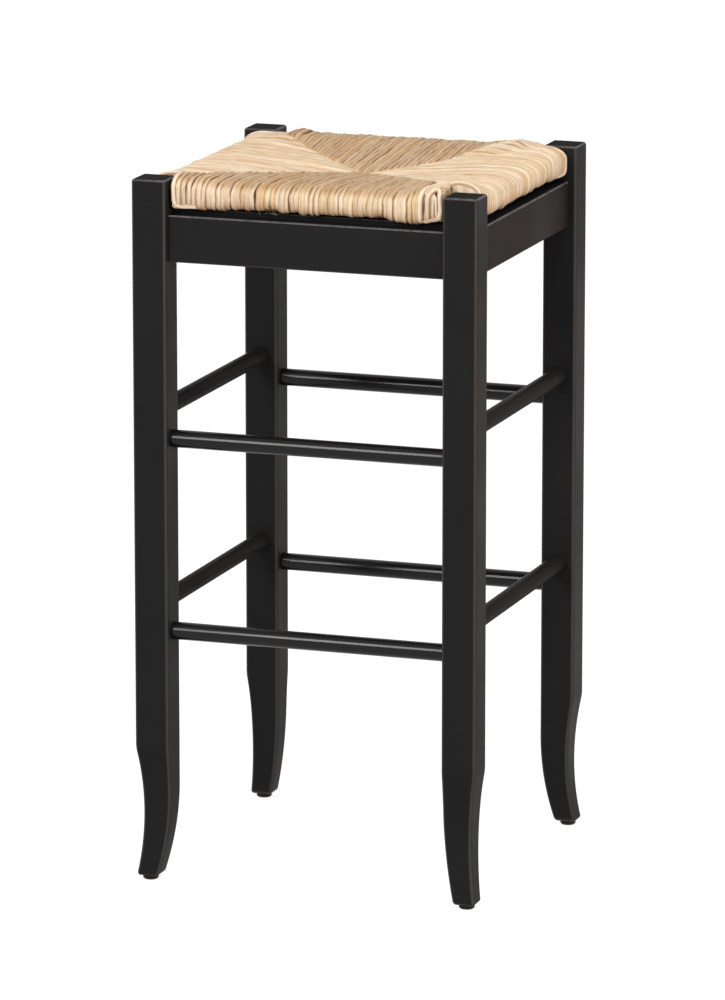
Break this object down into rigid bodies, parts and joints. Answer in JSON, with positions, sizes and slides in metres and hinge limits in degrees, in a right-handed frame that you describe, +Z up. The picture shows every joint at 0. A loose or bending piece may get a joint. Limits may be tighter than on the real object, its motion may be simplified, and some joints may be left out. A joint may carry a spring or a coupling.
{
  "type": "rush seat bar stool",
  "caption": "Backless bar stool with square sabre-footed legs, round stretchers and a woven rush seat notched round the leg tops.",
  "frame": {"origin": "on the floor, under the middle of the stool", "axes": "+Z up, the front towards -Y, +X to the right of someone facing the front"},
  "size_m": [0.382, 0.382, 0.765],
  "materials": {
    "painted_wood": "satin black paint with slight rub-through on the edges",
    "bare_wood": "unfinished",
    "rush": "twisted natural rush cord",
    "stuffing": "packed rush ends",
    "glide_plastic": "moulded",
    "steel": "zinc plated"
  },
  "bodies": {
    "root": {"apron_back": "painted_wood", "apron_front": "painted_wood", "apron_left": "painted_wood", "apron_right": "painted_wood", "corner_block_back_left": "painted_wood", "corner_block_back_right": "painted_wood", "corner_block_front_left": "painted_wood", "corner_block_front_right": "painted_wood", "corner_block_screws": "steel", "foot_glide_back_left": "glide_plastic", "foot_glide_back_right": "glide_plastic", "foot_glide_front_left": "glide_plastic", "foot_glide_front_right": "glide_plastic", "glide_nails": "steel", "leg_back_left": "painted_wood", "leg_back_right": "painted_wood", "leg_front_left": "painted_wood", "leg_front_right": "painted_wood", "rush_seat": "rush", "seat_ledger_back": "painted_wood", "seat_ledger_front": "painted_wood", "seat_ledger_left": "painted_wood", "seat_ledger_right": "painted_wood", "seat_rail_back": "bare_wood", "seat_rail_front": "bare_wood", "seat_rail_left": "bare_wood", "seat_rail_right": "bare_wood", "seat_screws": "steel", "seat_stuffing": "stuffing", "stretcher_back_lower": "painted_wood", "stretcher_back_upper": "painted_wood", "stretcher_front_lower": "painted_wood", "stretcher_front_upper": "painted_wood", "stretcher_left_lower": "painted_wood", "stretcher_left_upper": "painted_wood", "stretcher_right_lower": "painted_wood", "stretcher_right_upper": "painted_wood"}
  },
  "joints": []
}
